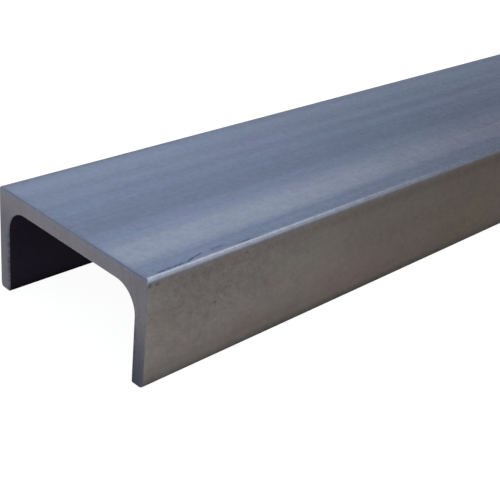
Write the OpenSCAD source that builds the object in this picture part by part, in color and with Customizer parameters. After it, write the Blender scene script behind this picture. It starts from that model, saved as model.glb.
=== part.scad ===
// Channel section stock: one rolled bar, cut square at both ends.
// The bar lies with its web uppermost and stands on the toes of its two flanges.
// Frame: X runs along the bar, Y across the web, Z up. The origin is midway along
// the bar, midway between the flanges, on the plane of the toes. Sizes are in mm.

/* [Section] */
// Depth of the section, over the outer faces of the two flanges
depth = 76.2; // [50:0.1:150]
// Width of each flange, from the back of the web to its toe
flange_w = 38.1; // [25:0.1:75]
// Thickness of the web
web_t = 6.0; // [3:0.1:12]
// Thickness of each flange, the same from root to toe
flange_t = 5.1; // [3:0.1:12]

/* [Rounding] */
// Radius of the fillet between the web and each flange, inside the section
root_r = 9.0; // [2:0.1:12]
// Radius of the heel, where the back of the web turns into a flange
heel_r = 1.4; // [0.2:0.1:2.4]
// Radius of the outer edge of each toe
toe_outer_r = 1.5; // [0.2:0.1:1.6]
// Radius of the inner edge of each toe
toe_inner_r = 0.5; // [0.2:0.1:1.2]

/* [Stock] */
// Length that the bar is cut to
cut_length = 609.6; // [150:0.1:6000]

/* [Hidden] */
$fn = 128;
half_depth = depth / 2;
hollow_w = depth - 2 * flange_t;
hollow_h = flange_w - web_t;
// Length by which a cutter runs past the face that it opens
overrun = 1;

// A sharp corner at the origin, less the quarter disc inside it: the sliver that a
// radius of r takes off an outer corner, or leaves in an inner one. The corner's
// two sides run along +X and +Y.
module spandrel(r) {
    difference() {
        square(r);
        translate([r, r]) circle(r);
    }
}

// Puts its children at a corner of the profile and at that corner's twin in the
// other half, each turned so that the spandrel's sides run inwards.
module at_both(corner, flip_y = false) {
    for (side = [0, 1])
        mirror([side, 0])
            translate(corner)
                mirror([1, 0])
                    mirror([0, flip_y ? 1 : 0])
                        children();
}

// Space between the flanges, open at the toes and rounded at both roots.
module hollow_profile() {
    difference() {
        translate([-hollow_w / 2, -overrun]) square([hollow_w, hollow_h + overrun]);
        at_both([hollow_w / 2, hollow_h], flip_y = true) spandrel(root_r);
    }
}

// The section as it is rolled: web on top, toes on the axis.
module channel_profile() {
    difference() {
        translate([-half_depth, 0]) square([depth, flange_w]);
        hollow_profile();
        at_both([half_depth, flange_w], flip_y = true) spandrel(heel_r);
        at_both([half_depth, 0]) spandrel(toe_outer_r);
        at_both([hollow_w / 2, 0]) mirror([1, 0]) spandrel(toe_inner_r);
    }
}

// The whole bar, cut square at both ends.
module channel() {
    color([0.52, 0.53, 0.56])
        translate([-cut_length / 2, 0, 0])
            rotate([90, 0, 90])
                linear_extrude(height = cut_length)
                    channel_profile();
}

channel();
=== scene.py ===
"""Stainless steel channel: the looks of one bar of channel stock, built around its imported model.

The bar lies with its web uppermost and stands on the toes of its flanges. X runs along the
bar, Y across the web and Z up; the origin is midway along it, on the floor. Metres.
"""

import logging
import math
from dataclasses import dataclass
from enum import Enum
from typing import Mapping, Union

import bmesh
import bpy
from mathutils import Matrix, Vector, noise


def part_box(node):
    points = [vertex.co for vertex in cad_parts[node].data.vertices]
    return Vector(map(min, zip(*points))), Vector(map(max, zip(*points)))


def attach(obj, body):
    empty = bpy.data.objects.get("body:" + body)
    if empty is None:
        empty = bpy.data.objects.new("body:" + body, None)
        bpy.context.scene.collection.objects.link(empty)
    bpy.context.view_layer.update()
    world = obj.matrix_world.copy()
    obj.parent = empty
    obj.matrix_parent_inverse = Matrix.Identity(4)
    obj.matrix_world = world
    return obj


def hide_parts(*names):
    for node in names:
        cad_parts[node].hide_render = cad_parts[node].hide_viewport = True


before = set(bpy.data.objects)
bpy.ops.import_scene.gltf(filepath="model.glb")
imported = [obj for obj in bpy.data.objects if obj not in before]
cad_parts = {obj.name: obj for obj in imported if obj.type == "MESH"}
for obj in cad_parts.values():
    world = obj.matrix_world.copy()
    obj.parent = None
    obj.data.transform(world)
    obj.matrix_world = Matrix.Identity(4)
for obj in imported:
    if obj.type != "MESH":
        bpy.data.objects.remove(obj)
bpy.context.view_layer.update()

LOG = logging.getLogger("channel_stock")
MM = 0.001
NODE = "channel"
BODY = "root"
NOISE_MIDDLE = 0.5
QUAD_CORNERS = 4

Triple = tuple[float, float, float]
Colour = Triple
Span = tuple[float, float]


# ---------------------------------------------------------------- shader arithmetic


class Signal:
    """A number that varies over a surface: an output socket that Python can calculate with."""

    def __init__(self, graph: "Graph", socket: bpy.types.NodeSocket) -> None:
        """Keeps the graph that the socket belongs to."""
        self.graph = graph
        self.socket = socket

    def __add__(self, other: "Number") -> "Signal":
        """Adds a number or another signal."""
        return self.graph.math("ADD", self, other)

    def __sub__(self, other: "Number") -> "Signal":
        """Takes a number or another signal away."""
        return self.graph.math("SUBTRACT", self, other)

    def __rsub__(self, other: "Number") -> "Signal":
        """Is taken away from a number."""
        return self.graph.math("SUBTRACT", other, self)

    def __mul__(self, other: "Number") -> "Signal":
        """Multiplies by a number or another signal."""
        return self.graph.math("MULTIPLY", self, other)

    def __truediv__(self, other: "Number") -> "Signal":
        """Divides by a number or another signal."""
        return self.graph.math("DIVIDE", self, other)

    def __rtruediv__(self, other: "Number") -> "Signal":
        """Divides a number."""
        return self.graph.math("DIVIDE", other, self)

    def __abs__(self) -> "Signal":
        """Drops the sign."""
        return self.graph.math("ABSOLUTE", self)

    __radd__ = __add__
    __rmul__ = __mul__


Number = Union[Signal, float]
Feed = Union[Signal, bpy.types.NodeSocket, float, int, tuple]


class Mixing(Enum):
    """How the second colour of a blend acts on the first."""

    COVER = "MIX"
    TINT = "MULTIPLY"


class Graph:
    """The node tree of one material, built by calls instead of by hand."""

    def __init__(self, name: str) -> None:
        """Starts an empty material.

        Args:
            name: What the finish is called.
        """
        self.material = bpy.data.materials.new(name)
        self.material.use_nodes = True
        self.tree = self.material.node_tree
        self.tree.nodes.clear()

    @classmethod
    def on_tree(cls, tree: bpy.types.NodeTree) -> "Graph":
        """Empties a tree that is already there and works on it.

        Args:
            tree: The node tree of a world.

        Returns:
            A graph on that tree, with no material.
        """
        graph = cls.__new__(cls)
        graph.material = None
        graph.tree = tree
        tree.nodes.clear()
        return graph

    def feed(self, socket: bpy.types.NodeSocket, value: Feed) -> None:
        """Fills an input.

        Args:
            socket: The input.
            value: A constant for it, or what is linked into it.
        """
        source = value.socket if isinstance(value, Signal) else value
        if isinstance(source, bpy.types.NodeSocket):
            self.tree.links.new(source, socket)
        else:
            socket.default_value = source

    def node(
        self, kind: str, settings: Mapping[str, object], feeds: Mapping[str, Feed]
    ) -> bpy.types.Node:
        """Adds one node, sets its options and then fills its inputs.

        Args:
            kind: The node's type, such as ShaderNodeTexNoise.
            settings: Its options, by attribute name.
            feeds: Its inputs, by name or identifier: a constant, or what is linked in.

        Returns:
            The new node.
        """
        made = self.tree.nodes.new(kind)
        for name, value in settings.items():
            setattr(made, name, value)
        for name, value in feeds.items():
            self.feed(next(s for s in made.inputs if name in (s.identifier, s.name)), value)
        return made

    def math(self, operation: str, first: Number, second: Number = 0.0) -> Signal:
        """Adds one Math node.

        Args:
            operation: What it works out.
            first: Its first number.
            second: Its second number, where the operation takes one.

        Returns:
            The result.
        """
        made = self.node("ShaderNodeMath", {"operation": operation}, {})
        for socket, value in zip(made.inputs, (first, second)):
            self.feed(socket, value)
        return Signal(self, made.outputs[0])

    def position(self) -> tuple[bpy.types.NodeSocket, Signal, Signal, Signal]:
        """Where a point lies on the bar.

        Returns:
            The position as a vector, and its X, Y and Z.
        """
        place = self.node("ShaderNodeTexCoord", {}, {}).outputs["Object"]
        split = self.node("ShaderNodeSeparateXYZ", {}, {"Vector": place})
        return (place, *(Signal(self, split.outputs[axis]) for axis in "XYZ"))

    def stretch(
        self, place: bpy.types.NodeSocket, scale: Triple, turn: Triple = (0.0, 0.0, 0.0)
    ) -> bpy.types.NodeSocket:
        """Scales and turns a position before a pattern reads it.

        Args:
            place: The position.
            scale: Its factors along X, Y and Z.
            turn: Its turns about X, Y and Z, in radians.

        Returns:
            The new position.
        """
        made = self.node(
            "ShaderNodeMapping",
            {"vector_type": "POINT"},
            {"Vector": place, "Scale": scale, "Rotation": turn},
        )
        return made.outputs["Vector"]

    def noise(
        self, place: bpy.types.NodeSocket, scale: float, detail: float = 3.0, rough: float = 0.5
    ) -> Signal:
        """Draws cloudy noise.

        Args:
            place: The position that it reads.
            scale: How fine it is.
            detail: How many finer layers it has.
            rough: How strong the finer layers are.

        Returns:
            The noise, from 0 to 1 with its middle near NOISE_MIDDLE.
        """
        made = self.node(
            "ShaderNodeTexNoise",
            {"noise_dimensions": "3D"},
            {"Vector": place, "Scale": scale, "Detail": detail, "Roughness": rough},
        )
        return Signal(self, made.outputs["Fac"])

    def ease(self, value: Signal, low: float, high: float) -> Signal:
        """Rises smoothly from one value to another, or falls where low is the larger one.

        Args:
            value: What is read.
            low: Where the result is 0.
            high: Where the result is 1.

        Returns:
            A number from 0 to 1.
        """
        made = self.node(
            "ShaderNodeMapRange",
            {"interpolation_type": "SMOOTHSTEP"},
            {
                "Value": value,
                "From Min": min(low, high),
                "From Max": max(low, high),
                "To Min": 0.0 if low < high else 1.0,
                "To Max": 1.0 if low < high else 0.0,
            },
        )
        return Signal(self, made.outputs["Result"])

    def hump(self, value: Signal, centre: float, reach: float) -> Signal:
        """1 at centre, falling smoothly to 0 at reach on either side."""
        return self.ease(abs(value - centre), reach, 0.0)

    def blend(
        self, first: Feed, second: Feed, share: Number, mixing: Mixing = Mixing.COVER
    ) -> bpy.types.NodeSocket:
        """Mixes two colours.

        Args:
            first: The colour at share 0.
            second: The colour at share 1, or the tint on the first.
            share: How much of the second.
            mixing: Whether the second covers the first or tints it.

        Returns:
            The mixed colour.
        """
        made = self.node(
            "ShaderNodeMix",
            {"data_type": "RGBA", "blend_type": mixing.value, "clamp_factor": True},
            {"Factor_Float": share, "A_Color": first, "B_Color": second},
        )
        return next(s for s in made.outputs if s.identifier == "Result_Color")

    def scaled(self, colour: Feed, factor: Signal) -> bpy.types.NodeSocket:
        """Makes a colour lighter or darker without changing its hue."""
        feeds = {"Vector": colour, "Scale": factor}
        return self.node("ShaderNodeVectorMath", {"operation": "SCALE"}, feeds).outputs["Vector"]

    def toned(
        self, colour: Feed, tone: Signal, warm: Colour, cool: Colour, hue: Signal
    ) -> bpy.types.NodeSocket:
        """Makes a colour lighter or darker and lets its hue drift a little.

        Args:
            colour: The colour at tone 1.
            tone: How light it is.
            warm: The tint where hue is 0.
            cool: The tint where hue is 1.
            hue: How far it has drifted from one tint to the other.

        Returns:
            The finished colour.
        """
        drift = self.blend(rgba(warm), rgba(cool), hue)
        return self.blend(self.scaled(colour, tone), drift, 1.0, Mixing.TINT)

    def finish(self, surface: Mapping[str, Feed], height: Signal, depth: float) -> bpy.types.Material:
        """Closes the graph with one Principled surface and its relief.

        Args:
            surface: Inputs of the surface shader.
            height: The relief, as a number from 0 to about 1.
            depth: How deep a relief of 1 is, in metres.

        Returns:
            The finished material.
        """
        relief = self.node(
            "ShaderNodeBump", {}, {"Height": height, "Distance": depth, "Strength": 1.0}
        )
        inputs = {**surface, "Normal": relief.outputs["Normal"]}
        shader = self.node("ShaderNodeBsdfPrincipled", {}, inputs)
        out = self.node("ShaderNodeOutputMaterial", {}, {})
        self.tree.links.new(shader.outputs["BSDF"], out.inputs["Surface"])
        return self.material


def rgba(colour: Colour) -> tuple[float, float, float, float]:
    """A colour with full opacity."""
    return (*colour, 1.0)


# ---------------------------------------------------------------- the section


@dataclass(frozen=True)
class Section:
    """The channel's cross-section, with Y across the web and Z up from the toes."""

    depth: float
    flange_width: float
    web: float = 6.0 * MM
    flange: float = 5.1 * MM
    root_radius: float = 9.0 * MM
    heel_radius: float = 1.4 * MM
    toe_outer_radius: float = 1.5 * MM
    toe_inner_radius: float = 0.5 * MM
    root_facets: int = 18
    heel_facets: int = 12
    toe_outer_facets: int = 6
    toe_inner_facets: int = 4

    @property
    def half(self) -> float:
        """Half of the depth, from the middle of the web to a flange's outer face."""
        return self.depth / 2

    @property
    def inner_half(self) -> float:
        """From the middle of the web to a flange's inner face."""
        return self.half - self.flange

    @property
    def underside(self) -> float:
        """Height of the web's inner face above the toes."""
        return self.flange_width - self.web

    def corners(self) -> list[tuple[float, float, float, int]]:
        """The outline's sharp corners, each with its radius and its number of facets.

        Returns:
            Y, Z, radius and facets of each corner, in order round the outline.
        """
        right = [
            (self.inner_half, self.underside, self.root_radius, self.root_facets),
            (self.inner_half, 0.0, self.toe_inner_radius, self.toe_inner_facets),
            (self.half, 0.0, self.toe_outer_radius, self.toe_outer_facets),
            (self.half, self.flange_width, self.heel_radius, self.heel_facets),
        ]
        left = [(-y, z, radius, facets) for y, z, radius, facets in reversed(right)]
        return right + left


# ---------------------------------------------------------------- marks and bands on the rolled faces


@dataclass(frozen=True)
class Scuff:
    """One straight mark on the back of the web, between two points: X from the cut end, and Y."""

    start: Span
    end: Span
    width: float
    strength: float
    colour: Colour
    full_share: float = 0.6

    def mask(self, g: Graph, along: Signal, y: Signal) -> Signal:
        """Where the mark lies.

        Args:
            g: The graph to draw in.
            along: Distance from the cut end.
            y: Distance across the web.

        Returns:
            The mark's strength on its line, fading to 0 beside it and past its two ends.
        """
        (x0, y0), (x1, y1) = self.start, self.end
        slope = (y1 - y0) / (x1 - x0)
        off_line = abs(y - (along * slope + (y0 - slope * x0)))
        off_middle = abs(along - (x0 + x1) / 2) / ((x1 - x0) / 2)
        fade = g.ease(off_middle, 1.0, self.full_share)
        return g.ease(off_line, self.width, 0.0) * fade * self.strength


@dataclass(frozen=True)
class Streak:
    """A soft lengthwise band on the back of the web; its place and reach are shares of the depth."""

    centre: float
    reach: float
    strength: float


@dataclass(frozen=True)
class Patch:
    """A soft oval patch on the outside of a flange, placed from the cut end and down from the heel."""

    along: float
    down: float
    length: float
    height: float
    strength: float
    colour: Colour

    def mask(self, g: Graph, along: Signal, down: Signal) -> Signal:
        """The patch's strength at its middle, fading to 0 at its rim."""
        over_length = g.hump(along, self.along, self.length / 2)
        return over_length * g.hump(down, self.down, self.height / 2) * self.strength


@dataclass(frozen=True)
class FootShade:
    """A darker band low on a flange: how much it darkens throughout, and how much more on its run.

    Heights and run each go from where the band sets in to where it is full.
    """

    heights: Span
    throughout: float
    run: Union[Span, None] = None
    on_run: float = 0.0

    def mask(self, g: Graph, z: Signal, along: Signal) -> Signal:
        """How much the band darkens a point.

        Args:
            g: The graph to draw in.
            z: Height above the toes.
            along: Distance from the cut end.

        Returns:
            What is taken off the tone.
        """
        shade: Number = self.throughout
        if self.run is not None:
            shade = g.ease(along, *self.run) * self.on_run + shade
        return g.ease(z, *self.heights) * shade


@dataclass(frozen=True)
class HeelBand:
    """A line of light or shade along a heel: how light near the cut end, and the change further on.

    Its centre and reach are arcs: 0 where the web ends, 1 where the flange starts.
    """

    centre: float
    reach: float
    near: float
    change: float

    def mask(self, g: Graph, arc: Signal, further: Signal) -> Signal:
        """How much the line lightens a point."""
        return g.hump(arc, self.centre, self.reach) * (further * self.change + self.near)


@dataclass(frozen=True)
class Swing:
    """How far a pattern lightens and darkens a face, and how much further where the face is worn."""

    pattern: Signal
    amount: float
    more_if_worn: float = 0.0


def swung(tone: Number, swings: tuple[Swing, ...], worn: Number = 0.0) -> Signal:
    """Lets patterns lighten and darken a tone.

    Args:
        tone: The tone without them.
        swings: The patterns, and how far each of them swings it.
        worn: How worn the face is.

    Returns:
        The tone with them.
    """
    for swing in swings:
        amount = swing.amount
        if swing.more_if_worn:
            amount = worn * swing.more_if_worn + amount
        tone = tone + (swing.pattern - NOISE_MIDDLE) * amount
    return tone


DARK_MARK: Colour = (0.055, 0.090, 0.185)
PALE_MARK: Colour = (0.420, 0.470, 0.560)
RUSTY_MARK: Colour = (0.290, 0.250, 0.330)
RUBBED: Colour = (0.270, 0.246, 0.230)
REDDISH: Colour = (0.182, 0.130, 0.120)
OLIVE: Colour = (0.163, 0.141, 0.107)
NICKED: Colour = (0.045, 0.040, 0.048)


# ---------------------------------------------------------------- finishes


@dataclass(frozen=True)
class Spot:
    """Where a shaded point lies: along the bar, round the section, and on which of its faces."""

    place: bpy.types.NodeSocket
    y: Signal
    z: Signal
    along: Signal
    down: Signal
    across: Signal
    arc: Signal
    further: Signal
    outside_top: Signal
    on_web: Signal
    on_heel: Signal
    by_heel: Signal
    in_shaded_hollow: Signal
    under_web: Signal


@dataclass(frozen=True)
class Grain:
    """The patterns of the rolled skin: lengthwise lines from the rolls, and the etched grain."""

    hair: Signal
    lines: Signal
    strips: Signal
    cloud: Signal
    mottle: Signal
    blotch: Signal
    dents: Signal
    speckle: Signal
    etch: Signal
    brushed: Signal
    hue: Signal


@dataclass(frozen=True)
class WearAndLight:
    """How a flange changes along the bar: rubbed, finely pitted and painted lighter near the cut end,
    with painted shade beyond.
    """

    rubbed_and_lit: Signal
    worn: Signal
    shaded_further_on: Signal
    pits: Signal


@dataclass(frozen=True)
class Face:
    """What one face of the bar looks like: its colour, and how light it is."""

    colour: bpy.types.NodeSocket
    tone: Signal


@dataclass(frozen=True)
class RolledFinish:
    """Descaled mill finish on every rolled face: satin, streaked along the bar, a little stained; with
    light and shade painted in.
    """

    section: Section
    near_end: float
    # painted reflection, partly the steel's own tint: the web bluer and lighter, the flanges browner
    # and darker
    web_tint_and_reflection: Colour = (0.300, 0.340, 0.434)
    dull_colour: Colour = (0.231, 0.240, 0.269)
    band_colour: Colour = (0.600, 0.610, 0.640)
    # painted reflection along the far heel
    far_heel_reflection_tint: Colour = (1.01, 0.90, 0.82)
    flange_tint_and_reflection: Colour = (0.158, 0.144, 0.135)
    plain_colour: Colour = (0.160, 0.138, 0.122)
    rub_colour: Colour = (0.205, 0.190, 0.175)
    stain_colour: Colour = (0.175, 0.124, 0.108)
    toe_shade_colour: Colour = (0.118, 0.122, 0.110)
    # painted highlight on the heels, and its lower tail
    heel_highlight_colour: Colour = (0.405, 0.430, 0.488)
    heel_highlight_tail_colour: Colour = (0.415, 0.400, 0.405)
    # painted shade inside the section
    inside_shade_colour: Colour = (0.019, 0.016, 0.025)
    underside_shade_colour: Colour = (0.050, 0.048, 0.058)
    warm_drift: Colour = (1.030, 0.970, 1.020)
    cool_drift: Colour = (0.970, 1.030, 0.980)
    edge_tint: Colour = (0.40, 0.40, 0.40)
    web_tone: float = 1.0
    flange_tone: float = 0.74
    roughness: float = 0.46
    relief_depth: float = 0.02 * MM
    brush_lean: float = math.radians(-32.0)

    def scuffs(self) -> tuple[Scuff, ...]:
        """The handling marks on the back of the web: six beside the near heel, three further in."""
        return (
            Scuff((4.2 * MM, -36.9 * MM), (10.8 * MM, -36.5 * MM), 1.05 * MM, 0.90, DARK_MARK),
            Scuff((9.8 * MM, -36.55 * MM), (18.5 * MM, -36.4 * MM), 0.65 * MM, 0.95, DARK_MARK),
            Scuff((15.5 * MM, -36.8 * MM), (20.5 * MM, -35.5 * MM), 0.50 * MM, 0.70, DARK_MARK),
            Scuff((17.0 * MM, -36.1 * MM), (24.4 * MM, -34.7 * MM), 0.50 * MM, 0.80, DARK_MARK),
            Scuff((26.5 * MM, -34.95 * MM), (34.3 * MM, -34.7 * MM), 1.20 * MM, 0.42, DARK_MARK),
            Scuff((36.5 * MM, -36.8 * MM), (43.5 * MM, -36.6 * MM), 0.75 * MM, 0.80, DARK_MARK),
            Scuff((3.0 * MM, 7.8 * MM), (20.0 * MM, 8.1 * MM), 0.60 * MM, 0.24, PALE_MARK),
            Scuff((16.0 * MM, 7.5 * MM), (28.0 * MM, 7.9 * MM), 1.00 * MM, 0.28, RUSTY_MARK),
            Scuff((24.0 * MM, 7.8 * MM), (35.0 * MM, 7.9 * MM), 0.60 * MM, 0.24, PALE_MARK),
        )

    def streaks(self) -> tuple[Streak, ...]:
        """The lengthwise bands that the rolls left on the back of the web."""
        return (
            Streak(0.395, 0.085, 0.10),
            Streak(0.250, 0.050, 0.05),
            Streak(0.180, 0.050, -0.06),
            Streak(0.125, 0.040, 0.03),
            Streak(-0.030, 0.200, -0.10),
            Streak(-0.150, 0.075, 0.080),
        )

    def patches(self) -> tuple[Patch, ...]:
        """Where a flange is rubbed brighter, and where it is stained reddish or olive, or nicked."""
        return (
            Patch(0.0, 8.0 * MM, 34.0 * MM, 14.0 * MM, 0.24, RUBBED),
            Patch(8.0 * MM, 24.0 * MM, 80.0 * MM, 28.0 * MM, 0.30, RUBBED),
            Patch(60.0 * MM, 22.0 * MM, 170.0 * MM, 24.0 * MM, 0.10, RUBBED),
            Patch(5.5 * MM, 17.0 * MM, 9.0 * MM, 16.0 * MM, 0.35, REDDISH),
            Patch(16.0 * MM, 29.0 * MM, 14.0 * MM, 9.0 * MM, 0.35, REDDISH),
            Patch(35.0 * MM, 3.9 * MM, 17.0 * MM, 3.6 * MM, 0.45, REDDISH),
            Patch(44.0 * MM, 32.0 * MM, 42.0 * MM, 12.0 * MM, 0.40, REDDISH),
            Patch(54.0 * MM, 22.0 * MM, 15.0 * MM, 12.0 * MM, 0.30, REDDISH),
            Patch(98.0 * MM, 29.0 * MM, 96.0 * MM, 22.0 * MM, 0.48, REDDISH),
            Patch(164.0 * MM, 27.0 * MM, 60.0 * MM, 30.0 * MM, 0.70, OLIVE),
            Patch(3.8 * MM, 2.7 * MM, 2.6 * MM, 1.8 * MM, 0.80, NICKED),
            Patch(28.0 * MM, 17.2 * MM, 2.0 * MM, 1.5 * MM, 0.95, NICKED),
            Patch(40.0 * MM, 3.4 * MM, 2.0 * MM, 1.4 * MM, 0.45, NICKED),
        )

    def foot_shades(self) -> tuple[FootShade, ...]:
        """The darker bands towards the toes."""
        return (
            FootShade((8.5 * MM, 5.0 * MM), 0.0, (100.0 * MM, 50.0 * MM), 0.08),
            FootShade((4.4 * MM, 0.3 * MM), 0.10, (190.0 * MM, 60.0 * MM), 0.20),
            FootShade((1.3 * MM, 0.5 * MM), 0.30),
            FootShade((9.0 * MM, 1.0 * MM), 0.0, (10.0 * MM, 70.0 * MM), 0.05),
        )

    def heel_bands(self) -> tuple[HeelBand, ...]:
        """The lines of light and shade that run along a heel."""
        return (
            HeelBand(0.55, 0.38, 0.15, -0.05),
            HeelBand(0.80, 0.50, 0.0, 0.12),
            HeelBand(0.18, 0.26, -0.12, -0.02),
            HeelBand(1.08, 0.46, -0.32, 0.26),
        )

    def spot(self, g: Graph) -> Spot:
        """Works out where a shaded point lies.

        Args:
            g: The graph to work in.

        Returns:
            Its place along the bar and round the section. Arc is 0 where a heel's rounding
            leaves the web and 1 where it meets the flange.
        """
        place, x, y, z = g.position()
        s = self.section
        along = x - self.near_end
        down = s.flange_width - z
        arc = (abs(y) - (s.half - s.heel_radius) + down) / (2 * s.heel_radius)
        top = g.ease(down, 3.6 * MM, 2.6 * MM)
        hollow_shade = g.ease(abs(y), s.half - 0.6 * MM, s.half - 1.6 * MM)
        return Spot(
            place=place,
            y=y,
            z=z,
            along=along,
            down=down,
            across=y / s.depth,
            arc=arc,
            further=g.ease(along, 5.0 * MM, 205.0 * MM),
            outside_top=top,
            on_web=g.ease(arc, 1.52, 0.45) * top,
            on_heel=g.ease(arc, -0.10, 0.25) * g.ease(arc, 1.12, 0.42) * top,
            by_heel=g.ease(arc, -0.05, 0.30) * g.ease(arc, 1.50, 0.75) * top,
            # the hollow inside the section, which gets painted shade and more roughness
            in_shaded_hollow=hollow_shade * g.ease(down, 1.0 * MM, 3.0 * MM),
            under_web=g.ease(abs(y), s.inner_half - 1.0 * MM, s.inner_half - s.root_radius),
        )

    def grain(self, g: Graph, place: bpy.types.NodeSocket) -> Grain:
        """Draws the skin's patterns.

        Args:
            g: The graph to draw in.
            place: The position of a shaded point.

        Returns:
            The patterns, each from 0 to 1.
        """
        slanted = g.stretch(place, (1.0, 1.0, 1.0), (0.0, self.brush_lean, 0.0))
        return Grain(
            hair=g.noise(g.stretch(place, (6.0, 900.0, 900.0)), 1.0, 3.0, 0.6),
            lines=g.noise(g.stretch(place, (4.0, 300.0, 300.0)), 1.0, 3.0, 0.55),
            strips=g.noise(g.stretch(place, (1.6, 62.0, 62.0)), 1.0, 2.0, 0.5),
            cloud=g.noise(place, 38.0, 4.0, 0.55),
            mottle=g.noise(place, 620.0, 3.0, 0.60),
            blotch=g.noise(place, 330.0, 4.0, 0.60),
            dents=g.noise(g.stretch(place, (260.0, 480.0, 480.0)), 1.0, 3.0, 0.6),
            speckle=g.noise(place, 950.0, 2.0, 0.60),
            etch=g.noise(place, 1500.0, 2.0, 0.7),
            brushed=g.noise(g.stretch(slanted, (260.0, 1100.0, 1100.0)), 1.0, 2.0, 0.6),
            hue=g.noise(g.stretch(place, (25.0, 70.0, 70.0)), 1.0, 3.0, 0.6),
        )

    def web(self, g: Graph, spot: Spot, grain: Grain) -> Face:
        """The back of the web: a pale strip along one side, and the bands that the rolls left.

        Args:
            g: The graph to work in.
            spot: Where the point lies.
            grain: The skin's patterns.

        Returns:
            The web's colour and tone.
        """
        across, along = spot.across, spot.along
        half = self.section.half
        pale_strip = g.ease(across, -0.155, -0.280) * g.ease(across, -0.420, -0.350)
        far_side = g.ease(across, 0.05, 0.40)
        near_side = g.ease(across, 0.10, -0.30)
        near_rim = g.ease(across, -0.385, -0.425) * g.hump(along, 85.0 * MM, 80.0 * MM)
        # painted reflection along the far heel: warmer, and lighter further along the bar
        far_heel_reflection = g.ease(spot.y, half - 3.4 * MM, half - 0.8 * MM)
        far_heel_run = g.ease(along, 65.0 * MM, 105.0 * MM)
        pale = pale_strip * 0.36 + far_side * 0.10
        # painted shade: the web turns duller and greyer further along the bar
        dull = g.ease(along, 50.0 * MM, 230.0 * MM) * (near_side * 0.42 + 0.12) + near_rim * 0.14
        colour = g.blend(rgba(self.web_tint_and_reflection), rgba(self.band_colour), pale)
        colour = g.blend(colour, rgba(self.dull_colour), dull)
        colour = g.blend(colour, rgba(self.far_heel_reflection_tint), far_heel_reflection, Mixing.TINT)
        unbroken = g.ease(grain.mottle, 0.34, 0.56) * 0.80 + 0.20
        for scuff in self.scuffs():
            colour = g.blend(colour, rgba(scuff.colour), scuff.mask(g, along, spot.y) * unbroken)
        # painted shade: the web dims further along the bar
        shaded_further_on = g.ease(along, 10.0 * MM, 170.0 * MM)
        cut_edge = g.ease(along, 0.9 * MM, 0.2 * MM)
        tone = swung(
            self.web_tone - shaded_further_on * 0.11 - cut_edge * 0.12,
            (
                Swing(grain.hair, 0.18),
                Swing(grain.lines, 0.14),
                Swing(grain.strips, 0.16),
                Swing(grain.cloud, 0.12),
                Swing(grain.mottle, 0.42),
            ),
        )
        tone = tone + (grain.blotch - NOISE_MIDDLE) * pale * 0.60
        tone = tone + far_heel_reflection * far_heel_run * 0.17
        for streak in self.streaks():
            tone = tone + g.hump(across, streak.centre, streak.reach) * streak.strength
        return Face(colour, tone)

    def wear(self, g: Graph, spot: Spot, grain: Grain) -> WearAndLight:
        """Works out how worn a flange is at a point, and the light and shade painted along it.

        Args:
            g: The graph to work in.
            spot: Where the point lies.
            grain: The skin's patterns.

        Returns:
            Its wear, its painted light and shade along the bar, and its pits.
        """
        worn = g.hump(spot.along, 24.0 * MM, 62.0 * MM) * g.ease(spot.down, 36.0 * MM, 8.0 * MM)
        scattered = g.ease(g.noise(spot.place, 90.0, 2.0, 0.5), 0.40, 0.62)
        return WearAndLight(
            rubbed_and_lit=g.ease(spot.along, 175.0 * MM, -10.0 * MM),
            worn=worn,
            shaded_further_on=g.ease(spot.along, 10.0 * MM, 70.0 * MM),
            pits=g.ease(grain.speckle, 0.44, 0.30) * scattered * (worn * 0.60 + 0.20),
        )

    def flange_paint(self, g: Graph, spot: Spot, grain: Grain, wear: WearAndLight) -> bpy.types.NodeSocket:
        """Colours a flange: tarnish, patches, rubbed spots lighter near the cut end, and a toe darkened
        by painted shade.

        Args:
            g: The graph to work in.
            spot: Where the point lies.
            grain: The skin's patterns.
            wear: How worn the flange is there, and the light and shade painted on it.

        Returns:
            The flange's colour.
        """
        along, down = spot.along, spot.down
        low = g.hump(down, 28.0 * MM, 18.0 * MM)
        stain = g.noise(g.stretch(spot.place, (14.0, 34.0, 34.0)), 1.0, 3.0, 0.55)
        tarnish = g.ease(stain, 0.44, 0.72) * (low * 0.20 + 0.10) + low * 0.10
        tarnish = tarnish * g.ease(along, 20.0 * MM, 90.0 * MM)
        uneven = g.ease(grain.blotch * 0.4 + grain.cloud * 0.6, 0.36, 0.58) * 0.5 + 0.5
        # rubbed spots, fading further along with the painted light
        rubbed = g.ease(grain.cloud, 0.48, 0.70) * wear.rubbed_and_lit * 0.35
        # painted shade at the toe, growing further along the bar
        toe = g.ease(spot.z, 4.5 * MM, 0.5 * MM) * wear.shaded_further_on * 0.45
        colour = g.blend(rgba(self.plain_colour), rgba(self.flange_tint_and_reflection), wear.rubbed_and_lit)
        colour = g.blend(colour, rgba(self.stain_colour), tarnish)
        for patch in self.patches():
            colour = g.blend(colour, rgba(patch.colour), patch.mask(g, along, down) * uneven)
        colour = g.blend(colour, rgba(self.rub_colour), rubbed)
        return g.blend(colour, rgba(self.toe_shade_colour), toe)

    def flange(self, g: Graph, spot: Spot, grain: Grain, wear: WearAndLight) -> Face:
        """The outside of a flange.

        Args:
            g: The graph to work in.
            spot: Where the point lies.
            grain: The skin's patterns.
            wear: How worn the flange is there, and the light and shade painted on it.

        Returns:
            The flange's colour and tone.
        """
        along, down = spot.along, spot.down
        dim_patch = g.hump(down, 30.0 * MM, 8.0 * MM) * g.hump(along, 52.0 * MM, 50.0 * MM)
        under_heel = g.hump(down, 4.4 * MM, 3.4 * MM)
        corner_dab = g.hump(along, 0.8 * MM, 1.6 * MM) * g.hump(down, 2.4 * MM, 1.3 * MM)
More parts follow.
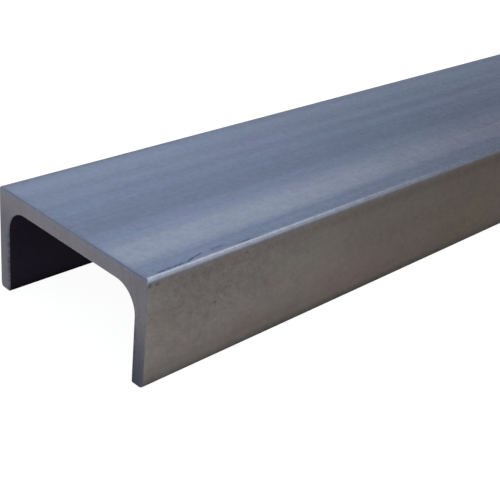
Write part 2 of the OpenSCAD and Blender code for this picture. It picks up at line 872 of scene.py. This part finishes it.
        # painted light: the flange is lighter near the cut end and dims further along
        tone = swung(
            self.flange_tone + wear.rubbed_and_lit * 0.24,
            (
                Swing(grain.brushed, 0.12, 0.18),
                Swing(grain.blotch, 0.17, 0.26),
                Swing(grain.mottle, 0.26, 0.20),
                Swing(grain.speckle, 0.08, 0.16),
                Swing(grain.lines, 0.12),
                Swing(grain.cloud, 0.16),
            ),
            wear.worn,
        )
        tone = tone - wear.pits * 0.11 - wear.worn * 0.04
        tone = tone - dim_patch * 0.09 - under_heel * 0.085 - corner_dab * 0.45
        for shade in self.foot_shades():
            tone = tone - shade.mask(g, spot.z, along)
        return Face(self.flange_paint(g, spot, grain, wear), tone)

    def painted_heel_light(self, g: Graph, spot: Spot, grain: Grain, tone: Signal) -> Signal:
        """Adds a heel's dents, a painted highlight at its tip and painted lines of light and shade.

        Args:
            g: The graph to work in.
            spot: Where the point lies.
            grain: The skin's patterns.
            tone: The tone of the faces beside it.

        Returns:
            The tone with the heels and their painted light on it.
        """
        further = spot.further
        # painted highlight at the heel's tip by the cut end
        highlight_tip = g.ease(spot.along, 4.0 * MM, 0.4 * MM)
        # painted shade: dims the heel's highlight further along the bar
        tone = tone - spot.by_heel * further * 0.24
        tone = tone + spot.on_heel * (grain.dents - NOISE_MIDDLE) * (0.60 - further * 0.48)
        tone = tone + spot.on_heel * highlight_tip * 0.30
        lines = sum(band.mask(g, spot.arc, further) for band in self.heel_bands())
        return tone * (1.0 + lines * spot.outside_top)

    def painted_heel_highlight(
        self, g: Graph, spot: Spot, grain: Grain, colour: bpy.types.NodeSocket
    ) -> bpy.types.NodeSocket:
        """Paints a highlight on the heels, most on the near side and towards the cut end.

        Args:
            g: The graph to work in.
            spot: Where the point lies.
            grain: The skin's patterns.
            colour: The colour of the faces beside it.

        Returns:
            The colour with the heels' painted highlight on it.
        """
        # painted highlight along the heels: weaker on the far heel, fading further along the bar
        far_side = g.ease(spot.y, 0.0, self.section.half)
        share = spot.on_heel * (grain.hair * 0.2 + grain.dents * 0.36 + 0.60)
        share = share * (1.0 - spot.further) * (1.0 - far_side * 0.6)
        tail = g.ease(spot.arc, 0.35, 0.90)
        heel = g.blend(rgba(self.heel_highlight_colour), rgba(self.heel_highlight_tail_colour), tail)
        return g.blend(colour, heel, share)

    def material(self) -> bpy.types.Material:
        """Builds the material.

        Returns:
            The material for all rolled faces.
        """
        g = Graph("rolled_mill_finish")
        spot = self.spot(g)
        grain = self.grain(g, spot.place)
        wear = self.wear(g, spot, grain)
        web = self.web(g, spot, grain)
        flange = self.flange(g, spot, grain, wear)
        # painted reflection, partly the steel's own tint: the web paler and bluer than the flanges
        tone = flange.tone + (web.tone - flange.tone) * spot.on_web
        tone = swung(tone, (Swing(grain.etch, 0.18),))
        tone = self.painted_heel_light(g, spot, grain, tone)
        colour = g.blend(flange.colour, web.colour, spot.on_web)
        colour = self.painted_heel_highlight(g, spot, grain, colour)
        # painted shade: the faces inside the section are nearly black, a little lighter under the web
        hollow_shade = g.blend(rgba(self.inside_shade_colour), rgba(self.underside_shade_colour), spot.under_web)
        colour = g.blend(colour, hollow_shade, spot.in_shaded_hollow)
        rough = swung(
            spot.on_heel * 0.04 + spot.in_shaded_hollow * 0.20 + self.roughness,
            (Swing(grain.mottle, 0.12), Swing(grain.lines, 0.08), Swing(grain.cloud, 0.05)),
        )
        relief = grain.lines * 0.30 + grain.hair * 0.20 + grain.mottle * 0.30 + grain.etch * 0.20
        surface = {
            "Base Color": g.toned(colour, tone, self.warm_drift, self.cool_drift, grain.hue),
            "Roughness": rough,
            "Metallic": 1.0,
            "Specular Tint": rgba(self.edge_tint),
        }
        return g.finish(surface, relief - wear.pits * 0.35, self.relief_depth)


@dataclass(frozen=True)
class SawnFinish:
    """The saw-cut ends: bare grey metal with fine parallel tooth lines."""

    section: Section
    half_length: float
    colour: Colour = (0.163, 0.155, 0.170)
    low_colour: Colour = (0.041, 0.045, 0.074)
    arris_highlight_colour: Colour = (0.170, 0.163, 0.186)
    rim_reflection_colour: Colour = (0.150, 0.163, 0.208)
    warm_drift: Colour = (1.090, 0.960, 0.940)
    cool_drift: Colour = (0.910, 1.040, 1.060)
    line_pitch: float = 0.7 * MM
    line_lean: float = math.radians(12.0)
    roughness: float = 0.5
    relief_depth: float = 0.03 * MM

    def material(self) -> bpy.types.Material:
        """Builds the material.

        Returns:
            The material for both cut ends.
        """
        g = Graph("sawn_end")
        place, x, y, z = g.position()
        s = self.section
        turned = g.stretch(place, (1.0, 1.0, 1.0), (self.line_lean, 0.0, 0.0))
        scores = g.noise(g.stretch(turned, (1.0, 1.0 / self.line_pitch, 22.0)), 1.0, 3.0, 0.6)
        cloud = g.noise(place, 110.0, 4.0, 0.6)
        grain = g.noise(place, 1400.0, 2.0, 0.7)
        hue = g.noise(place, 280.0, 4.0, 0.6)
        torn = g.noise(g.stretch(turned, (1.0, 260.0, 900.0)), 1.0, 2.0, 0.5)
        down = s.flange_width - z
        by_flange = g.ease(y, -s.half + 12.0 * MM, -s.half + 4.0 * MM)
        low = g.ease(down, 9.0 * MM, s.flange_width + 1.0 * MM) * by_flange
        far_side = g.ease(y, s.half - 14.0 * MM, s.half - 4.0 * MM) * g.ease(down, 2.0 * MM, 12.0 * MM)
        # the broken outer edge, with light painted on it: a paler painted highlight beside the flanges,
        # and along the web a bluish painted reflection like the rolled face
        broken = g.ease(self.half_length - abs(x), 0.02 * MM, 0.22 * MM)
        top_rim = g.ease(down, 2.6 * MM, 0.3 * MM)
        side_rim = g.ease(abs(y), s.half - 1.6 * MM, s.half - 0.3 * MM)
        # the inner edge of the flanges, torn in short dashes
        inner_rim = g.ease(abs(y), s.inner_half + 2.4 * MM, s.inner_half - 0.4 * MM)
        inner_rim = inner_rim * g.ease(down, 12.0 * MM, 20.0 * MM)
        colour = g.blend(rgba(self.colour), rgba(self.low_colour), low * 0.99 + far_side * 0.38)
        colour = g.blend(colour, rgba(self.arris_highlight_colour), side_rim * (broken * 0.25 + 0.20))
        colour = g.blend(colour, rgba(self.rim_reflection_colour), top_rim)
        swings = (Swing(scores, 0.46), Swing(cloud, 0.22), Swing(grain, 0.46))
        tone = swung(1.0 - by_flange * 0.11, swings)
        tone = tone - inner_rim * (g.ease(torn, 0.42, 0.58) * 0.36 + 0.10)
        # painted highlight along the top of the broken edge
        tone = tone + broken * top_rim * 0.95
        surface = {
            "Base Color": g.toned(colour, tone, self.warm_drift, self.cool_drift, hue),
            "Roughness": swung(self.roughness, (Swing(scores, 0.16),)),
            "Metallic": 1.0,
        }
        return g.finish(surface, scores * 0.7 + grain * 0.3, self.relief_depth)


# ---------------------------------------------------------------- the bar


class Surface(Enum):
    """The bar's two kinds of surface, by the place of their material."""

    ROLLED = 0
    SAWN = 1


@dataclass
class ChannelBar:
    """The bar itself, with rounded corners, broken cut edges and the slight unevenness of rolling."""

    section: Section
    near_end: float
    far_end: float
    ring_pitch: float = 3.0 * MM
    strip_pitch: float = 2.5 * MM
    edge_break: float = 0.45 * MM
    edge_segments: int = 2
    unevenness: float = 0.07 * MM
    waves_per_metre: Triple = (14.0, 30.0, 30.0)
    square_on: float = 0.9
    sawn_from: float = 0.3

    def outline(self, bm: bmesh.types.BMesh) -> bmesh.types.BMFace:
        """Draws the section at the near end as one face, with its corners rounded.

        Args:
            bm: The mesh to draw in.

        Returns:
            The section's face.
        """
        corners = self.section.corners()
        points = [bm.verts.new((self.near_end, y, z)) for y, z, _, _ in corners]
        bm.faces.new(points)
        for point, (_, _, radius, facets) in zip(points, corners):
            bmesh.ops.bevel(
                bm,
                geom=[point],
                offset=radius,
                offset_type="OFFSET",
                affect="VERTICES",
                segments=facets,
                profile=0.5,
                material=-1,
                clamp_overlap=False,
            )
        for edge in list(bm.edges):
            cuts = math.ceil(edge.calc_length() / self.strip_pitch) - 1
            if cuts > 0:
                bmesh.ops.subdivide_edges(bm, edges=[edge], cuts=cuts)
        return bm.faces[:][0]

    def drawn_out(self, bm: bmesh.types.BMesh, face: bmesh.types.BMFace) -> None:
        """Runs the section along the bar and cuts the run into rings.

        Args:
            bm: The mesh.
            face: The section at the near end.
        """
        length = self.far_end - self.near_end
        made = bmesh.ops.extrude_face_region(bm, geom=[face], use_keep_orig=True)
        moved = [v for v in made["geom"] if isinstance(v, bmesh.types.BMVert)]
        bmesh.ops.translate(bm, verts=moved, vec=(length, 0.0, 0.0))
        long_edges = [e for e in bm.edges if e.calc_length() > length / 2]
        cuts = math.ceil(length / self.ring_pitch) - 1
        bmesh.ops.subdivide_edges(bm, edges=long_edges, cuts=cuts, use_grid_fill=True)
        bmesh.ops.recalc_face_normals(bm, faces=bm.faces[:])

    def broken_edges(self, bm: bmesh.types.BMesh) -> None:
        """Takes the sharpness off the cut edges at both ends.

        Args:
            bm: The mesh.
        """
        ends = [f for f in bm.faces if abs(f.normal.x) > self.square_on]
        rim = [e for f in ends for e in f.edges]
        bmesh.ops.bevel(
            bm,
            geom=rim,
            offset=self.edge_break,
            offset_type="OFFSET",
            affect="EDGES",
            segments=self.edge_segments,
            profile=0.5,
            material=-1,
            clamp_overlap=False,
        )

    def rolled_unevenness(self, bm: bmesh.types.BMesh) -> None:
        """Sinks the outer faces very slightly, in long waves, as rolling leaves them.

        Args:
            bm: The mesh.
        """
        s = self.section
        flat_share = 0.3
        on_top = s.flange_width - s.heel_radius * flat_share
        on_side = s.half - s.heel_radius * flat_share
        clear_of_edge = self.edge_break * 1.5
        fx, fy, fz = self.waves_per_metre
        for vert in bm.verts:
            x, y, z = vert.co
            if min(x - self.near_end, self.far_end - x) < clear_of_edge:
                continue
            wave = 0.5 + 0.5 * noise.noise((x * fx, y * fy, z * fz))
            sink = self.unevenness * wave
            if z > on_top:
                vert.co.z -= sink
            elif abs(y) > on_side:
                vert.co.y -= math.copysign(sink, y)

    def dressed(self, bm: bmesh.types.BMesh) -> None:
        """Marks which faces are sawn, and keeps the ends flat beside the smooth rest.

        Args:
            bm: The mesh.
        """
        for face in bm.faces:
            end = len(face.verts) > QUAD_CORNERS
            surface = Surface.SAWN if abs(face.normal.x) > self.sawn_from else Surface.ROLLED
            face.material_index = surface.value
            face.smooth = not end
            if end:
                for edge in face.edges:
                    edge.smooth = False

    def build(self, rolled: bpy.types.Material, sawn: bpy.types.Material) -> bpy.types.Object:
        """Makes the bar's object.

        Args:
            rolled: The finish of the rolled faces.
            sawn: The finish of the two cut ends.

        Returns:
            The bar, in place.
        """
        bm = bmesh.new()
        self.drawn_out(bm, self.outline(bm))
        self.broken_edges(bm)
        self.rolled_unevenness(bm)
        self.dressed(bm)
        bmesh.ops.triangulate(bm, faces=[f for f in bm.faces if len(f.verts) > QUAD_CORNERS])
        mesh = bpy.data.meshes.new("channel_bar")
        bm.to_mesh(mesh)
        bm.free()
        mesh.materials.append(rolled)
        mesh.materials.append(sawn)
        bar = bpy.data.objects.new("channel_bar", mesh)
        bpy.context.scene.collection.objects.link(bar)
        LOG.info("%s: %d faces", bar.name, len(mesh.polygons))
        return bar


# ---------------------------------------------------------------- the studio


def placed(thing: bpy.types.Object, place: Vector, axes: tuple[Vector, Vector, Vector]) -> None:
    """Puts a lamp or a camera in the scene.

    Args:
        thing: The object; it looks along its own -Z.
        place: Where it stands.
        axes: Its right, its up and its back.
    """
    thing.matrix_world = Matrix.Translation(place) @ Matrix(axes).transposed().to_4x4()
    bpy.context.scene.collection.objects.link(thing)


@dataclass(frozen=True)
class Panel:
    """One soft light panel, aimed at a point."""

    name: str
    place: Vector
    aim: Vector
    width: float
    height: float
    power: float
    colour: Colour

    def build(self) -> None:
        """Hangs the panel, with its lower and upper edges level."""
        light = bpy.data.lights.new(self.name, "AREA")
        light.shape = "RECTANGLE"
        light.size = self.width
        light.size_y = self.height
        light.energy = self.power
        light.color = self.colour
        back = (self.place - self.aim).normalized()
        side = Vector((0.0, 0.0, 1.0)).cross(back).normalized()
        lamp = bpy.data.objects.new(self.name, light)
        placed(lamp, self.place, (side, back.cross(side), back))


@dataclass(frozen=True)
class CameraStand:
    """Where the camera stands, as angles and a distance from the point it looks at."""

    aim: Vector
    heading: float
    dip: float
    roll: float
    distance: float
    lens: float
    sensor_width: float = 36.0
    sees_from: float = 0.01
    sees_to: float = 200.0

    def build(self) -> None:
        """Sets up the camera and makes it the scene's own."""
        heading, dip, roll = (math.radians(a) for a in (self.heading, self.dip, self.roll))
        ahead = Vector(
            (math.cos(heading) * math.cos(dip), math.sin(heading) * math.cos(dip), -math.sin(dip))
        )
        right = Vector((math.sin(heading), -math.cos(heading), 0.0))
        up = right.cross(ahead)
        turned_right = right * math.cos(roll) + up * math.sin(roll)
        turned_up = up * math.cos(roll) - right * math.sin(roll)
        data = bpy.data.cameras.new("camera")
        data.lens = self.lens
        data.sensor_width = self.sensor_width
        data.clip_start = self.sees_from
        data.clip_end = self.sees_to
        camera = bpy.data.objects.new("camera", data)
        placed(camera, self.aim - ahead * self.distance, (turned_right, turned_up, -ahead))
        bpy.context.scene.camera = camera


@dataclass
class Studio:
    """Plain pale floor, soft panels and the camera."""

    near: Vector
    floor_reach: float = 40.0
    floor_segments: int = 64
    floor_colour: Colour = (0.19, 0.189, 0.187)
    floor_light: Colour = (1.0, 1.0, 1.0)
    floor_glow: float = 0.945
    floor_roughness: float = 0.9
    floor_grain: float = 60.0
    floor_relief: float = 0.1 * MM
    horizon_colour: Colour = (1.0, 1.0, 1.0)
    wall_colour: Colour = (0.68, 0.745, 0.86)
    wall_rise: Span = (0.02, 0.26)
    ceiling_colour: Colour = (0.33, 0.36, 0.42)
    ceiling_rise: Span = (0.60, 0.92)
    dim_side: Span = (0.66, 0.98)
    dim_rise: Span = (0.10, 0.25)
    dimness: float = 0.70

    def floor(self) -> None:
        """Lays the floor at height 0; it is not part of the object."""
        g = Graph("pale_floor")
        surface = {
            "Base Color": rgba(self.floor_colour),
            "Roughness": self.floor_roughness,
            "Emission Color": rgba(self.floor_light),
            "Emission Strength": self.floor_glow,
        }
        grain = g.noise(g.position()[0], self.floor_grain)
        bm = bmesh.new()
        bmesh.ops.create_circle(
            bm, cap_ends=True, segments=self.floor_segments, radius=self.floor_reach
        )
        mesh = bpy.data.meshes.new("floor")
        bm.to_mesh(mesh)
        bm.free()
        mesh.materials.append(g.finish(surface, grain, self.floor_relief))
        floor = bpy.data.objects.new("floor", mesh)
        bpy.context.scene.collection.objects.link(floor)

    def room(self) -> None:
        """Surrounds the bar with a room: white at the floor, pale walls and a dimmer ceiling.

        The side towards +X is dim.
        """
        world = bpy.data.worlds.new("room")
        world.use_nodes = True
        g = Graph.on_tree(world.node_tree)
        outlook = g.node("ShaderNodeTexCoord", {}, {}).outputs["Generated"]
        split = g.node("ShaderNodeSeparateXYZ", {}, {"Vector": outlook})
        ahead, rise = Signal(g, split.outputs["X"]), Signal(g, split.outputs["Z"])
        dim = g.ease(ahead, *self.dim_side) * g.ease(rise, *self.dim_rise) * self.dimness
        walls = g.ease(rise, *self.wall_rise)
        colour = g.blend(rgba(self.horizon_colour), rgba(self.wall_colour), walls)
        colour = g.blend(colour, rgba(self.ceiling_colour), g.ease(rise, *self.ceiling_rise))
        colour = g.scaled(colour, 1.0 - dim)
        backdrop = g.node("ShaderNodeBackground", {}, {"Color": colour, "Strength": 1.0})
        out = g.node("ShaderNodeOutputWorld", {}, {})
        g.tree.links.new(backdrop.outputs["Background"], out.inputs["Surface"])
        bpy.context.scene.world = world

    def panels(self) -> tuple[Panel, ...]:
        """Places the soft light panels.

        Returns:
            One behind the bar, and one over its near heel.
        """
        n = self.near
        behind = n + Vector((1.2, 1.5, 1.1))
        over_heel = n + Vector((0.72, -0.09, 1.08))
        return (
            Panel("back_panel", behind, n, 1.6, 1.2, 1.2, (0.80, 0.87, 1.0)),
            Panel("heel_panel", over_heel, n, 0.6, 0.6, 3.1, (0.96, 0.97, 1.0)),
        )

    def camera_stand(self) -> CameraStand:
        """The stand in front of the near end."""
        return CameraStand(
            aim=Vector((self.near.x + 37.1 * MM, -42.0 * MM, 38.1 * MM)),
            heading=42.65,
            dip=27.77,
            roll=6.01,
            distance=312.9 * MM,
            lens=74.0,
        )

    def build(self) -> None:
        """Sets up floor, room, panels and camera."""
        self.floor()
        self.room()
        for panel in self.panels():
            panel.build()
        self.camera_stand().build()
        bpy.context.scene.view_settings.view_transform = "Standard"


def main() -> None:
    """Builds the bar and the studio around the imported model."""
    logging.basicConfig(level=logging.INFO, format="%(name)s: %(message)s")
    low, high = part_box(NODE)
    section = Section(depth=high.y - low.y, flange_width=high.z - low.z)
    bar = ChannelBar(section, low.x, high.x).build(
        RolledFinish(section, low.x).material(), SawnFinish(section, high.x).material()
    )
    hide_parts(NODE)
    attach(bar, BODY)
    LOG.info("%s rides on %s", bar.name, BODY)
    Studio(near=Vector((low.x, 0.0, high.z / 2))).build()


if __name__ == "__main__":
    main()
